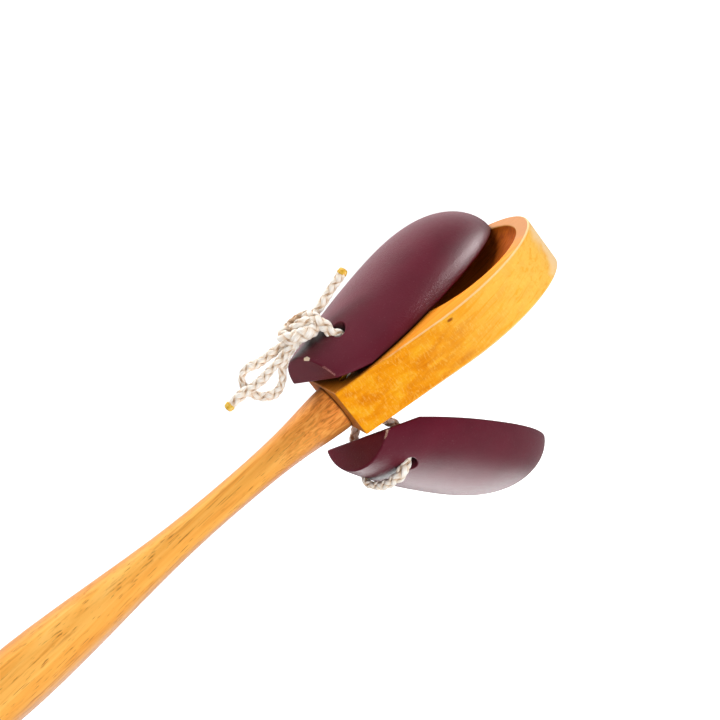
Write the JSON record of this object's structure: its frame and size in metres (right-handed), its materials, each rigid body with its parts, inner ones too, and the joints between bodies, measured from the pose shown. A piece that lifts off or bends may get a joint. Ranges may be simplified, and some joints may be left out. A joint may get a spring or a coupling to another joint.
{
  "type": "handle castanets",
  "caption": "Castanets on a handle: two painted wooden shells tied by one braided cord to the faces of a flat scooped paddle on a turned handle.",
  "frame": {"origin": "middle of the hand grip, on the handle's axis", "axes": "+X along the handle towards the paddle's tip, +Z out of the face that carries the upper shell"},
  "size_m": [0.2001, 0.0546, 0.0819],
  "materials": {
    "handle_wood": "oiled beech, satin, with dark flecks along the grain",
    "paddle_wood": "varnished golden maple, satin",
    "shell_paint": "satin burgundy paint on wood, worn at the heel's edge",
    "cord": "ivory braided cord",
    "cord_seal": "amber sealed cord end"
  },
  "bodies": {
    "paddle": {"handle": "handle_wood", "paddle": "paddle_wood", "cord_in_paddle": "cord"},
    "upper_cord": {"upper_cord_link": "cord"},
    "upper_shell": {"upper_shell": "shell_paint", "cord_knot": "cord", "upper_tail_seal": "cord_seal"},
    "bow": {"bow": "cord", "lower_tail_seal": "cord_seal"},
    "lower_cord": {"lower_cord_link": "cord"},
    "lower_shell": {"lower_shell": "shell_paint", "lower_cord_stitch": "cord"}
  },
  "joints": [
    {"name": "upper_swivel", "type": "hinge", "parent": "paddle", "child": "upper_cord", "pos_m": [0.1008, -0.001, 0.0065], "axis": [0, 0, 1], "range_deg": [-56.5, 19.5]},
    {"name": "upper_hinge", "type": "hinge", "parent": "upper_cord", "child": "upper_shell", "pos_m": [0.09451, -0.0031, 0.00674], "axis": [0.3173, -0.9483, 0], "range_deg": [0, 50]},
    {"name": "bow_swing", "type": "hinge", "parent": "upper_shell", "child": "bow", "pos_m": [0.09976, -0.00135, 0.02145], "axis": [0.3173, -0.9483, 0], "range_deg": [-50, 0]},
    {"name": "lower_swivel", "type": "hinge", "parent": "paddle", "child": "lower_cord", "pos_m": [0.1, 0.0006, -0.0065], "axis": [0, 0, 1], "range_deg": [-74.8, 1.2]},
    {"name": "lower_hinge", "type": "hinge", "parent": "lower_cord", "child": "lower_shell", "pos_m": [0.09469, -0.00337, -0.00674], "axis": [0.599, -0.8007, 0], "range_deg": [-6, 44.2], "deforming": ["lower_cord_link"]}
  ],
  "couplings": [
    {"joint": "bow_swing", "follows": "upper_hinge", "ratio": -1}
  ]
}
